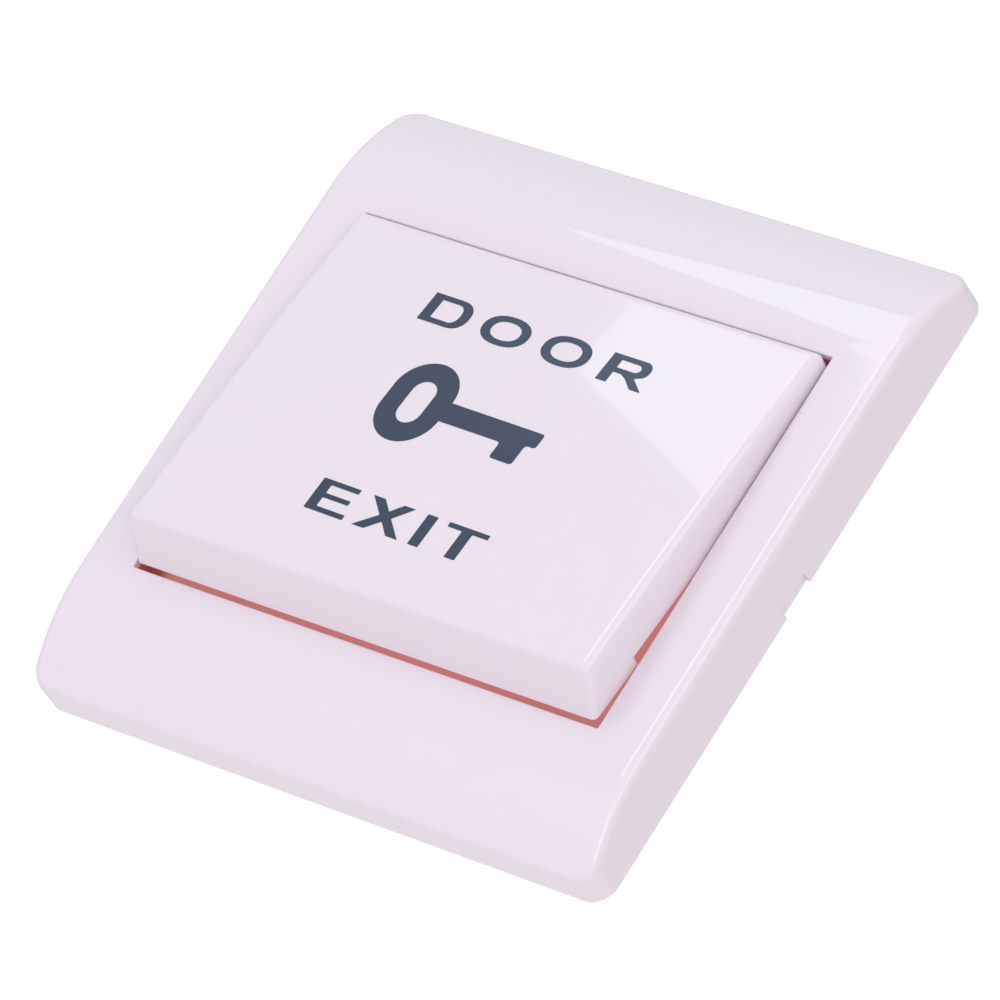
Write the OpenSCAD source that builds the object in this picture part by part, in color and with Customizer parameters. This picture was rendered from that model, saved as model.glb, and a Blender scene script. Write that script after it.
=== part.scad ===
// Flush wall door exit button on a square 86 mm plate: one large hinged button, a clip-fitted
// arched cover frame, a moulded carrier plate and a changeover contact block behind it.
// Every piece is drawn as it hangs, x to the right, y up the wall and z out of the wall, and
// on_wall() turns it into the model's frame, where Z is up and the wall is the plane Y = 0.

/* [Cover frame] */
// Width of the cover frame
plate_w = 86; // [84:0.5:100]
// Height of the cover frame
plate_h = 86; // [82:0.5:100]
// Radius of the frame's corners seen from the front
plate_corner_r = 3; // [1.8:0.1:6]
// Distance of the flat face from the wall
face_z = 9; // [8.8:0.1:10]
// Height of the arched part at the top and at the bottom of the face
arch_run = 15; // [14:0.5:15.5]
// Radius of the arch at the top and bottom of the face
arch_r = 26; // [24:0.5:34]
// Radius of the rounded edges
edge_r = 1.3; // [0.6:0.1:1.6]
// Wall thickness of the frame
frame_t = 2; // [1.6:0.1:2.2]
// Thickness of the frame where it laps over the carrier's rim
lip_t = 1; // [0.8:0.1:1.3]

/* [Window] */
// Width of the channel for the snap tabs, between the frame's side wall and the carrier's rim
channel_w = 3.8; // [3.4:0.1:4.4]
// Height of the frame above and below its window
end_border = 16.8; // [16.4:0.1:17.4]
// How far the window's middle lies below the frame's middle
window_drop = 0.2; // [0:0.1:0.6]
// Length of the pry notch in the frame's right edge
notch_len = 5.2; // [3:0.2:8]
// Height of the pry notch
notch_h = 1.85; // [1:0.05:2.2]
// Depth of the pry notch into the frame's side wall
notch_depth = 0.6; // [0.4:0.1:1.2]

/* [Snap tabs of the frame] */
// Distance of each snap tab from the top or the bottom of the frame
tab_set = 26; // [19:0.5:29]
// Width of a snap tab
tab_w = 6; // [4:0.5:8]
// Thickness of a snap tab
tab_t = 1; // [0.8:0.1:1.2]
// How far a snap tab's barb stands out
tab_barb = 0.5; // [0.3:0.1:0.6]

/* [Button] */
// Gap between the button and the sides of the window
side_gap = 0.4; // [0.3:0.05:0.8]
// Gap between the button and the top of the window
top_gap = 0.65; // [0.5:0.05:1]
// Gap between the button and the bottom of the window
bottom_gap = 0.45; // [0.4:0.05:1]
// Wall thickness of the button
button_t = 1.8; // [1.4:0.1:2]
// Height of the face's edges over the hinge line
cap_h = 4.45; // [4.2:0.05:5.5]
// How far the middle of the face bulges over its edges
crown = 0.55; // [0.3:0.05:1]
// Depth of the skirt under the hinge line at the lower edge
skirt_depth = 2.15; // [1.8:0.05:2.3]
// How much shorter the side skirts are over their upper part
skirt_step = 1.35; // [1:0.05:1.6]
// Length of the deep part of the side skirts, from the lower edge
skirt_step_len = 8.6; // [6:0.2:12]
// Lean of the lower wall of the button from upright
lower_draft = 19.5; // [10:0.5:24]
// Radius of the button's edges
button_edge_r = 1.2; // [0.8:0.1:1.5]

/* [Hinge and travel] */
// Distance of the hinge line below the top of the window
hinge_set = 2.8; // [2.6:0.1:3.2]
// Distance of the hinge line from the wall
hinge_z = 6.4; // [6.2:0.05:6.5]
// Angle at which the button stands out when nobody presses it
rest_tilt = 6; // [5:0.1:6.5]
// Angle through which the button turns when pressed
press_angle = 5; // [4:0.1:5]
// Radius of the hinge stubs
stub_r = 1; // [0.8:0.05:1]
// Radial clearance of the hinge stubs in the carrier
stub_play = 0.05; // [0.02:0.01:0.08]
// Distance of the two stop hooks from the button's sides
hook_set = 9; // [8:0.5:10.5]
// Distance of the stop hooks below the hinge line
hook_drop = 13.2; // [11:0.2:14.2]

/* [Carrier plate] */
// Distance between the two mounting slots, middle to middle
slot_pitch = 60.3; // [59:0.1:61]
// Width of a mounting slot
slot_w = 4.2; // [3.6:0.1:4.6]
// Length of a mounting slot
slot_len = 7; // [5:0.2:7.6]
// Thickness of the carrier's flange
flange_t = 2; // [1.8:0.1:2.2]
// Height of the floor's front over the wall
floor_z = 4.4; // [4:0.1:4.5]
// Thickness of the floor
floor_t = 1.6; // [1.4:0.1:1.8]
// Thickness of the rim round the window
rim_t = 1.6; // [1.4:0.1:1.8]
// Gap between the flange's edge and the frame's inner side
flange_gap = 0.4; // [0.2:0.05:0.5]

/* [Return springs] */
// Distance of the two return springs from the button's sides
spring_set = 15; // [14.5:0.5:17]
// Distance of the return springs above the bottom of the window
spring_rise = 12.9; // [10.5:0.2:14.5]
// Mean radius of a return spring's coil
spring_r = 3.1; // [2.8:0.1:3.4]
// Wire diameter of a return spring
spring_wire = 0.5; // [0.4:0.05:0.6]
// Turns of a return spring
spring_turns = 7; // [6:1:9]

/* [Plunger] */
// Radius of the plunger
plunger_r = 2; // [1.6:0.1:2.2]
// Radial clearance of the plunger in its guide
plunger_play = 0.06; // [0.02:0.01:0.1]
// Radius of the collar that keeps the plunger in
collar_r = 2.8; // [2.6:0.1:3.2]
// How far the plunger stands out of the carrier's floor at rest
plunger_out = 2.2; // [2.1:0.05:2.4]

/* [Contact block] */
// Wall thickness of the case beside its lid
case_side_t = 2.5; // [2:0.1:2.7]
// Wall thickness of the case over its contacts
case_t = 2; // [1.6:0.1:2.4]
// Distance from the lever's pin to the plunger's middle
lever_arm = 10; // [9:0.2:11]
// Distance from the lever's pin to its contact
contact_arm = 16; // [15:0.2:17]
// Thickness of the contact lever
lever_t = 1; // [0.8:0.1:1.2]
// Radius of the lever's pin
pin_r = 0.8; // [0.7:0.05:0.9]
// Radial clearance of the lever on its pin
pin_play = 0.05; // [0.02:0.01:0.08]
// Thickness of the contact strips
strip_t = 0.8; // [0.6:0.1:0.9]
// Radius of the contact buttons
contact_r = 1.5; // [1.2:0.1:1.7]
// Distance between the terminal screws
terminal_pitch = 12; // [11.6:0.1:12.4]
// Radius of a terminal screw's shank
screw_r = 1.5; // [1.2:0.1:1.6]

/* [Hidden] */
$fn = 64;

ivory = [0.90, 0.87, 0.90];
red_brown = [0.66, 0.35, 0.34];
black = [0.13, 0.13, 0.14];
natural = [0.90, 0.88, 0.80];
brass = [0.80, 0.64, 0.33];
silver = [0.86, 0.86, 0.85];
steel = [0.66, 0.67, 0.69];

// Overshoot of a cutting tool past the surface it cuts
over = 1;
// Small gap left where a moving piece stops against a fixed one
stop_gap = 0.05;
// How far a corner's cutting circle stands past the faces it meets, so that no ledge is left
seam = 0.002;
// Small gap between pieces that push each other
push_gap = 0.1;
// How far a piece grows into the one that carries it, so that both are one solid
sink = 0.2;

// The carrier's rim stands this far outside the window
rim_set = 0.2;

// Window edges, and the arch's centre line
window_w = plate_w - 2 * (frame_t + channel_w + rim_t + rim_set);
window_h = plate_h - 2 * end_border;
flat_h = plate_h - 2 * arch_run;
window_top = window_h / 2 - window_drop;
window_bottom = -window_h / 2 - window_drop;
arch_y = flat_h / 2;
arch_z = face_z - arch_r;
// Angle swept by each end of the arch, a little past the plate's end
arch_sweep = 52;
// Distance from the arch's centre line to the section swept along it
section_from = 14;

// The carrier's rim stands just behind the frame's lip and carries it
rim_in_x = window_w / 2 + rim_set;
rim_in_top = window_top + rim_set;
rim_in_bottom = window_bottom - rim_set;
rim_out_x = rim_in_x + rim_t;
rim_top_z = face_z - lip_t;
floor_back = floor_z - floor_t;
flange_x = plate_w / 2 - frame_t - flange_gap;
flange_y = plate_h / 2 - frame_t - flange_gap;
flange_r = 2;
slot_boss_t = 1.6;

// Snap tabs hang between the rim and the frame's side wall
tab_gap = 0.2;
tab_play = 0.1;
tab_spring_room = 0.7;
tab_x = flange_x - tab_barb - tab_t - tab_spring_room;
tab_y = plate_h / 2 - tab_set;
tab_end_z = 0.25;
tab_barb_h = 0.8;
ledge_z = tab_end_z + tab_barb_h + tab_play;

// Hinge line, and the places of the springs and the hooks
button_x = window_w / 2 - side_gap;
hinge_y = window_top - hinge_set;
hook_x = button_x - hook_set;
hook_y = hinge_y - hook_drop;
spring_x = button_x - spring_set;
spring_drop = -window_bottom - spring_rise;

// Ribs of the carrier's back, and the stubs that centre the return springs
rib_t = 1.2;
rib_set_top = 10.5;
rib_set_low = 5.4;
carrier_rib_top = window_top - rib_set_top;
carrier_rib_low = window_bottom + rib_set_low;
spring_stub_r = spring_r - spring_wire;
spring_stub_h = 1.6;
button_stub_r = spring_stub_r - 0.2;
button_stub_len = 2;

// Stop hooks of the button: width, thickness, the catch under the floor and the room round it
hook_w = 4;
hook_t = 1.2;
hook_catch = 0.7;
hook_gap = 0.6;
hook_side_gap = 0.5;
hook_sweep = 1.5;
// Levels of the hook's nose over the end of its shank: catch face, end of its flat, tip
hook_face_w = -0.2;
hook_flat_w = -1;
hook_tip_w = -1.8;
hook_root = 1;

// The button in its own frame: v up the wall from the hinge line, w out from it, skirt level
v_top = (window_top - top_gap - hinge_y) * cos(rest_tilt) - (face_z - hinge_z) * sin(rest_tilt);
reach = hinge_y - window_bottom - bottom_gap;
v_low = -sqrt(reach * reach - skirt_depth * skirt_depth);
v_face_low = v_low + (skirt_depth + cap_h) * tan(lower_draft);
v_mid = (v_top + v_face_low) / 2;
face_len = v_top - v_face_low;
face_r = (face_len * face_len / 4 + crown * crown) / (2 * crown);
w_mid = cap_h + crown - face_r;
face_sweep = 2 * asin(face_len / face_r);
skirt_w = -skirt_depth + skirt_step;
lug_wall = 0.6;
lug_r = stub_r + lug_wall;
lug_t = 2.4;
stub_end_gap = 0.3;
stub_out = rim_out_x - stub_end_gap;
button_rib_set = 7;
button_rib_x = spring_x - button_rib_set;
rib_end_gap = 1;
button_rib_w = 1;
cross_rib_w = 1.6;
cross_rib_set = 16;
leg_inset = 7;
leg_x = button_x - leg_inset;
leg_t = 2;
leg_len = 4;
leg_set = 8;

// The actuator's rounded tip, the plunger under it and the slide that the press gives it
tip_r = 1.5;
tip_w = 5;
plunger_top = floor_z + plunger_out;
tip_z = plunger_top + push_gap + tip_r - hinge_z;
tip_v = (-hinge_y * cos(rest_tilt) - tip_z * sin(rest_tilt));
tip_w_own = -hinge_y * sin(rest_tilt) + tip_z * cos(rest_tilt);
plunger_travel = hinge_y * sin(press_angle);

// Contact lever: level half way through its swing
half_swing = asin(plunger_travel / 2 / lever_arm);
lid_t = 1.6;
guide_wall = 1.4;
guide_r = plunger_r + guide_wall;
guide_end = -1.4;
collar_t = 1;
collar_top = guide_end - stop_gap;
plunger_end = -4.5;
pin_x = -lever_arm;
pin_z = plunger_end - push_gap - lever_arm * sin(half_swing) - lever_t / 2 / cos(half_swing);
lever_w = 6;
// Metal left round a contact, and round the lever's pin
contact_rim = 0.4;
knuckle_wall = 0.8;
lever_end = contact_arm + contact_r + contact_rim;
knuckle_r = pin_r + knuckle_wall;
rivet_h = 0.7;
contact_x = pin_x + contact_arm * cos(half_swing);
contact_rise = contact_arm * sin(half_swing);
contact_half = lever_t / 2 + rivet_h;
nc_z = pin_z + contact_rise + contact_half + push_gap;
no_z = pin_z - contact_rise - contact_half - push_gap;
nc_strip_z = nc_z + rivet_h;
cavity_z = no_z - rivet_h - strip_t;

// Switch case round the contacts, terminals along its lower side
case_back = cavity_z - case_t;
strip_w = 6.4;
strip_gap = 0.3;
cavity_x = terminal_pitch + strip_w / 2 + strip_gap;
cavity_y = 5.5;
lid_lap = 1.5;
lid_gap = 0.1;
case_top_t = 1.9;
case_top_y = cavity_y + case_top_t;
terminal_wall_t = 1.7;
terminal_wall_y = -cavity_y - terminal_wall_t;
case_bottom_y = -16.8;
terminal_set = 0.3;
terminal_y = (terminal_wall_y + case_bottom_y) / 2 - terminal_set;
terminal_z = -6;
pocket_w = 9.4;
screw_past = 3;
screw_room = 0.8;
screw_hole_play = 0.2;
clamp_hole_play = 0.1;
clamp_groove = [0.5, 0.3];
clamp_groove_y = 1.35;
case_w = 2 * (cavity_x + lid_lap + case_side_t);
ear_w = 8;
ear_t = 2.4;
ear_reach = 2.5;
ear_rim = 2.4;
ear_x = case_w / 2 + ear_reach;
ear_end = ear_x + ear_rim;
ear_hole_play = 0.3;
clamp_t = 0.9;
head_r = 2.8;
head_h = 1.9;

// Fixing screws of the case, driven from behind into blind bosses on the carrier
case_screw_r = 1.1;
case_head_r = 2.3;
case_head_h = 1.7;
case_screw_bite = 1.6;
case_screw_tip_gap = 0.2;
case_screw_end = floor_z + case_screw_bite;
case_boss_r = 2.7;
case_boss_cap = 0.9;
case_boss_top = case_screw_end + case_boss_cap;

// Lever spring
lever_spring_r = 1.7;
lever_spring_wire = 0.35;
lever_spring_arm = 5.2;
lever_spring_turns = 5;
lever_stub_h = 1.2;
lever_stub_play = 0.1;

// Ears of the common strip that hold the pin, and the reach of the contact tongues
strip_ear_gap = 0.15;
strip_ear_back = 2;
strip_ear_front = 1.2;
strip_ear_r = 1.6;
strip_ear_set = 0.4;
tongue_rim = 0.6;
pin_past = 0.6;
nc_tongue_low = -3;
nc_step_y = -1;
no_step_y = -3.2;
no_tongue_lap = 1;

// Steps of a coil's wire along each turn and round the wire
coil_steps = 20;
small_coil_steps = 16;
coil_sides = 8;
// Pitch of the flat end turns as a multiple of the wire
end_turn_pitch = 1.12;

// Turns a piece from the wall's own directions into the model's frame.
module on_wall() {
  rotate([90, 0, 0]) children();
}

// A box given by its lowest and highest corner.
module box(low, high) {
  translate(low) cube(high - low);
}

// A flat rectangle with true arcs at its corners.
module round_rect(w, h, r) {
  square([w - 2 * r, h], center = true);
  square([w, h - 2 * r], center = true);
  for (x = [-1, 1], y = [-1, 1])
    translate([x * (w / 2 - r), y * (h / 2 - r)]) circle(r);
}

// A straight slot with round ends, along x.
module slot_shape(len, w) {
  square([len - w, w], center = true);
  for (x = [-1, 1]) translate([x * (len - w) / 2, 0]) circle(w / 2);
}

// What a rounded edge takes off a sharp corner: the wedge between the directions a1 and a2
// (degrees, seen from the arc's centre) that lies outside a circle of radius r.
module corner_waste(r, a1, a2) {
  half = (a2 - a1) / 2;
  out = 3 * r;
  difference() {
    polygon([[0, 0],
             out * [cos(a1), sin(a1)],
             out / cos(half) * [cos(a1 + half), sin(a1 + half)],
             out * [cos(a2), sin(a2)]]);
    circle(r);
  }
}

// A solid swept along a shallow arc about a line parallel to x: profile in (radius, x).
module swept_over(y, z, from, sweep) {
  translate([0, y, z]) rotate([0, -90, 0]) rotate([0, 0, from])
    rotate_extrude(angle = sweep, $fn = 256) children();
}

// Section of a plate across x, outer edges rounded: radius outwards, x across.
module edge_section(r_in, r_out, half_w, r) {
  difference() {
    translate([r_in, -half_w]) square([r_out - r_in, 2 * half_w]);
    if (r > 0) {
      translate([r_out - r, half_w - r]) corner_waste(r, 0, 90);
      mirror([0, 1]) translate([r_out - r, half_w - r]) corner_waste(r, 0, 90);
    }
  }
}

// The arched block that the frame is made from: flat in the middle, falling at both ends.
// inset shrinks it on every side but the wall's, for the hollow inside.
module arched_block(inset, r_plan, r_edge) {
  half_w = plate_w / 2 - inset;
  half_h = plate_h / 2 - inset;
  r = arch_r - inset;
  intersection() {
    union() {
      rotate([90, 0, 0]) rotate([0, 0, 90]) linear_extrude(flat_h, center = true)
        translate([arch_z, 0]) edge_section(section_from, r, half_w, r_edge);
      swept_over(arch_y, arch_z, 0, arch_sweep) edge_section(section_from, r, half_w, r_edge);
      mirror([0, 1, 0])
        swept_over(arch_y, arch_z, 0, arch_sweep) edge_section(section_from, r, half_w, r_edge);
    }
    linear_extrude(face_z + over) round_rect(2 * half_w, 2 * half_h, r_plan);
  }
}

// Takes the sharp edge off both ends of the arch.
module end_rounding() {
  c_y = plate_h / 2 - edge_r;
  run = c_y - arch_y;
  c_z = arch_z + sqrt((arch_r - edge_r) * (arch_r - edge_r) - run * run);
  lean = atan2(c_z - arch_z, run);
  for (side = [0, 1]) mirror([0, side, 0])
    translate([0, c_y, c_z]) rotate([90, 0, 90])
      linear_extrude(plate_w + 2 * over, center = true) corner_waste(edge_r, 0, lean);
}

// One snap tab of the frame, on the side of positive x.
module snap_tab() {
  box([tab_x, -tab_w / 2, tab_end_z], [tab_x + tab_t, tab_w / 2, face_z - frame_t + sink]);
  translate([tab_x + tab_t, 0, tab_end_z]) rotate([90, 0, 0])
    linear_extrude(tab_w, center = true)
      polygon([[-tab_t / 2, 0], [0, 0], [tab_barb, tab_barb_h], [-tab_t / 2, tab_barb_h]]);
}

// Cover frame: an arched shell with the window, a thin lip over the carrier's rim, four
// snap tabs and a pry notch.
module face_frame() {
  color(ivory) on_wall() {
    difference() {
      arched_block(0, plate_corner_r, edge_r);
      end_rounding();
      arched_block(frame_t, plate_corner_r - frame_t / 2, 0);
      box([-plate_w / 2 + frame_t, -plate_h / 2 + frame_t, -over],
          [plate_w / 2 - frame_t, plate_h / 2 - frame_t, over]);
      box([-window_w / 2, window_bottom, 0], [window_w / 2, window_top, face_z + over]);
      box([-rim_out_x - rim_set, rim_in_bottom - rim_t - rim_set, face_z - frame_t - over],
          [rim_out_x + rim_set, rim_in_top + rim_t + rim_set, rim_top_z]);
      box([plate_w / 2 - notch_depth, -notch_len / 2, -over],
          [plate_w / 2 + over, notch_len / 2, notch_h]);
    }
    for (side = [0, 1]) mirror([side, 0, 0])
      for (y = [-tab_y, tab_y]) translate([0, y, 0]) snap_tab();
  }
}

// The slot and undercut in the carrier's flange that a snap tab clicks into.
module tab_slot() {
  box([tab_x - tab_gap, -tab_w / 2 - tab_gap, -over],
      [tab_x + tab_t + tab_gap, tab_w / 2 + tab_gap, flange_t + over]);
  box([tab_x, -tab_w / 2 - tab_gap, -over],
      [tab_x + tab_t + tab_barb + tab_gap, tab_w / 2 + tab_gap, ledge_z]);
}

// Carrier plate: flange on the wall, rim behind the window, floor under the button, bosses
// for the mounting screws, for the springs and for the contact block, ribs on the back.
module carrier() {
  rim_h = rim_in_top - rim_in_bottom + 2 * rim_t;
  rim_mid = (rim_in_top + rim_in_bottom) / 2;
  color(red_brown) on_wall() difference() {
    union() {
      linear_extrude(flange_t) round_rect(2 * flange_x, 2 * flange_y, flange_r);
      translate([0, rim_mid, 0])
        linear_extrude(rim_top_z) square([2 * rim_out_x, rim_h], center = true);
    }
    box([-rim_in_x, rim_in_bottom, floor_z], [rim_in_x, rim_in_top, rim_top_z + over]);
    difference() {
      box([-rim_in_x, rim_in_bottom, -over], [rim_in_x, rim_in_top, floor_back]);
      for (x = [-1, 1]) translate([x * slot_pitch / 2, 0, -2 * over])
        linear_extrude(floor_back + 3 * over)
          slot_shape(slot_len + 2 * slot_boss_t, slot_w + 2 * slot_boss_t);
      back_ribs();
    }
    for (x = [-1, 1]) translate([x * slot_pitch / 2, 0, -over])
      linear_extrude(floor_z + 2 * over) slot_shape(slot_len, slot_w);
    translate([0, 0, floor_back - over]) cylinder(r = guide_r + lid_gap, h = floor_t + 2 * over);
    for (x = [-1, 1]) hook_slot(x);
    for (x = [-1, 1]) translate([x * ear_x, 0, floor_back - over])
      cylinder(r = case_screw_r, h = floor_t + 2 * over);
    for (side = [0, 1]) mirror([side, 0, 0])
      for (y = [-tab_y, tab_y]) translate([0, y, 0]) tab_slot();
    translate([-plate_w / 2, hinge_y, hinge_z]) rotate([0, 90, 0])
      cylinder(r = stub_r + stub_play, h = plate_w);
  }
  color(red_brown) on_wall() {
    for (x = [-1, 1]) translate([x * ear_x, 0, floor_back]) difference() {
      cylinder(r = case_boss_r, h = case_boss_top - floor_back);
      translate([0, 0, -over]) cylinder(r = case_screw_r, h = case_screw_end - floor_back + over);
    }
    for (x = [-1, 1]) translate([x * spring_x, -spring_drop, floor_back])
      cylinder(r = spring_stub_r, h = floor_t + spring_stub_h);
  }
}

// Stiffening ribs on the back of the carrier's floor.
module back_ribs() {
  for (y = [carrier_rib_top, carrier_rib_low])
    box([-rim_in_x, y, 0], [rim_in_x, y + rib_t, floor_back]);
  for (x = [-1, 1]) translate([x * spring_x, 0, 0]) {
    box([-rib_t / 2, carrier_rib_top, 0], [rib_t / 2, rim_in_top, floor_back]);
    box([-rib_t / 2, rim_in_bottom, 0], [rib_t / 2, carrier_rib_low, floor_back]);
  }
}

// Hole in the carrier's floor for a stop hook, whose upper edge the hook catches.
module hook_slot(side) {
  x = side * hook_x;
  box([x - hook_w / 2 - hook_side_gap, hook_y - hook_t / 2 - hook_sweep, floor_back - over],
      [x + hook_w / 2 + hook_side_gap, hook_y + hook_t / 2 + hook_gap, floor_z + over]);
}

// Places a piece drawn in the button's own directions at its rest position.
module at_hinge() {
  translate([0, hinge_y, hinge_z]) rotate([-rest_tilt, 0, 0]) children();
}

// Outer body of the button, solid: crowned face, rounded edges, leaning lower wall.
module button_body() {
  r = button_edge_r;
  r_in = face_r - cap_h - skirt_depth - crown - over;
  up = [sin(lower_draft), cos(lower_draft)];
  start = [v_low - v_mid, -skirt_depth - w_mid] + r * [cos(lower_draft), -sin(lower_draft)];
  along = start * up;
  rise = -along + sqrt(along * along - start * start + (face_r - r) * (face_r - r));
  low_c = start + rise * up;
  top_run = v_top - r - v_mid;
  top_c = [top_run, sqrt((face_r - r) * (face_r - r) - top_run * top_run)];
  difference() {
    intersection() {
      swept_over(v_mid, w_mid, -face_sweep / 2, face_sweep)
        edge_section(r_in, face_r, button_x, r);
      rotate([90, 0, 90]) linear_extrude(window_w, center = true)
        polygon([[v_low, -skirt_depth], [v_top, -skirt_depth], [v_top, 2 * cap_h],
                 [v_low + (2 * cap_h + skirt_depth) * tan(lower_draft), 2 * cap_h]]);
    }
    translate([0, v_mid, w_mid]) rotate([90, 0, 90]) linear_extrude(window_w, center = true) {
      translate(top_c) corner_waste(r, 0, atan2(top_c[1], top_c[0]));
      translate(low_c)
        corner_waste(r, atan2(low_c[1], low_c[0]), 180 - lower_draft);
    }
    for (side = [0, 1]) mirror([side, 0, 0]) {
      translate([button_x - r + seam, v_top - r + seam, -skirt_depth - over])
        linear_extrude(3 * cap_h) corner_waste(r, 0, 90);
      translate([button_x - r, v_low + r / cos(lower_draft), -skirt_depth])
        rotate([-lower_draft, 0, 0]) translate([0, 0, -over * 2])
          linear_extrude(3 * cap_h) corner_waste(r, -90, 0);
    }
  }
}

// The hollow inside the button.
module button_hollow() {
  t = button_t;
  lower_in = v_low + t / cos(lower_draft);
  deep = skirt_depth + over;
  intersection() {
    swept_over(v_mid, w_mid, -face_sweep / 2, face_sweep)
      edge_section(face_r - cap_h - crown - deep - over, face_r - t, button_x - t, 0);
    rotate([90, 0, 90]) linear_extrude(window_w, center = true)
      polygon([[lower_in - over * tan(lower_draft), -deep], [v_top - t, -deep],
               [v_top - t, cap_h],
               [lower_in + (cap_h + skirt_depth) * tan(lower_draft), cap_h]]);
  }
}

// Button: the crowned shell, its ribs, hinge stubs, actuator, spring stubs, stop hooks and
// the two legs that end its travel on the carrier's floor.
module button() {
  spring_v = -(hinge_y + spring_drop) / cos(rest_tilt);
  hook_v = (hook_y - hinge_y) * cos(rest_tilt) - (floor_back - hinge_z) * sin(rest_tilt);
  hook_top = (floor_back - hinge_z) * cos(rest_tilt) + (hook_y - hinge_y) * sin(rest_tilt);
  hook_nose = hook_t / 2 + hook_gap + hook_catch;
  leg_v = v_low + leg_set;
  leg_far = leg_v + leg_len;
  leg_end = floor_z + stop_gap - hinge_z - leg_far * sin(press_angle - rest_tilt);
  color(ivory) on_wall() at_hinge() {
    difference() {
      button_body();
      button_hollow();
      box([-window_w, v_low + skirt_step_len, -3 * skirt_depth], [window_w, v_top + over, skirt_w]);
    }
    intersection() {
      button_body();
      for (x = [-button_rib_x, button_rib_x])
        box([x - rib_t / 2, v_low + rib_end_gap, button_rib_w],
            [x + rib_t / 2, v_top - rib_end_gap, 2 * cap_h]);
      for (v = [tip_v - rib_t / 2, tip_v - cross_rib_set])
        box([-button_x + rib_end_gap, v, cross_rib_w],
            [button_x - rib_end_gap, v + rib_t, 2 * cap_h]);
    }
    box([-tip_w / 2, tip_v - rib_t / 2, tip_w_own], [tip_w / 2, tip_v + rib_t / 2, cap_h]);
    translate([-tip_w / 2, tip_v, tip_w_own]) rotate([0, 90, 0]) cylinder(r = tip_r, h = tip_w);
    for (side = [0, 1]) mirror([side, 0, 0]) {
      translate([button_x - button_t - lug_t, 0, 0]) rotate([0, 90, 0])
        cylinder(r = lug_r, h = lug_t + button_t / 2);
      translate([button_x - button_t / 2, 0, 0]) rotate([0, 90, 0])
        cylinder(r = stub_r, h = stub_out - button_x + button_t / 2);
      intersection() {
        button_body();
        translate([spring_x, spring_v, cap_h + crown - button_t - button_stub_len])
          cylinder(r = button_stub_r, h = cap_h);
      }
      box([hook_x - hook_w / 2, hook_v - hook_t / 2, hook_top - hook_root],
          [hook_x + hook_w / 2, hook_v + hook_t / 2, cap_h - hook_root]);
      translate([hook_x - hook_w / 2, hook_v, hook_top]) rotate([90, 0, 90]) linear_extrude(hook_w)
        polygon([[0, hook_tip_w], [hook_t / 2, hook_tip_w], [hook_nose, hook_flat_w],
                 [hook_nose, hook_face_w], [0, hook_face_w]]);
      box([leg_x, leg_v, leg_end], [leg_x + leg_t, leg_far, cap_h - hook_root]);
    }
  }
}

// A closed-end compression spring standing on z = 0, wire swept along a helix whose end
// turns lie flat.
module coil(r, wire, height, turns, ring, sides) {
  steps = turns * ring;
  rise = height - wire;
  lay = wire * end_turn_pitch;
  function wire_z(t) = let (mid = turns - 2, live = rise - 2 * lay)
    t < 1 ? lay * t : t > turns - 1 ? rise - lay * (turns - t) : lay + live * (t - 1) / mid;
  points = [for (i = [0 : steps], k = [0 : sides - 1])
    let (t = i / ring, a = 360 * t, b = 360 * k / sides)
      [(r + wire / 2 * cos(b)) * cos(a), (r + wire / 2 * cos(b)) * sin(a),
       wire / 2 + wire_z(t) + wire / 2 * sin(b)]];
  skin = [for (i = [0 : steps - 1], k = [0 : sides - 1], half = [0, 1])
    let (n = (k + 1) % sides, a = i * sides + k, b = i * sides + n,
         c = (i + 1) * sides + n, d = (i + 1) * sides + k)
      half == 0 ? [a, b, c] : [a, c, d]];
  first = [[for (k = [sides - 1 : -1 : 0]) k]];
  last = [[for (k = [0 : sides - 1]) steps * sides + k]];
  polyhedron(points, concat(skin, first, last));
}

// Return springs between the carrier's floor and the button.
module return_spring(side) {
  own_v = -(hinge_y + spring_drop) / cos(rest_tilt);
  drop = (own_v - v_mid) * (own_v - v_mid) / 2 / face_r;
  seat = hinge_z - own_v * sin(rest_tilt) + (cap_h + crown - drop - button_t) * cos(rest_tilt);
  slope = (spring_r + spring_wire) * tan(rest_tilt);
  color(steel) on_wall() translate([side * spring_x, -spring_drop, floor_z + stop_gap])
    coil(spring_r, spring_wire, seat - floor_z - slope - push_gap - stop_gap, spring_turns,
         coil_steps, coil_sides);
}

module return_spring_left() {
  return_spring(-1);
}

module return_spring_right() {
  return_spring(1);
}

// Plunger: a stepped pin with a collar and a domed end that rests on the lever.
module plunger() {
  dome = plunger_end + plunger_r;
  color(natural) on_wall() {
    translate([0, 0, dome]) cylinder(r = plunger_r, h = plunger_top - dome);
    translate([0, 0, collar_top - collar_t]) cylinder(r = collar_r, h = collar_t);
    translate([0, 0, dome]) sphere(r = plunger_r);
  }
}

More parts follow.
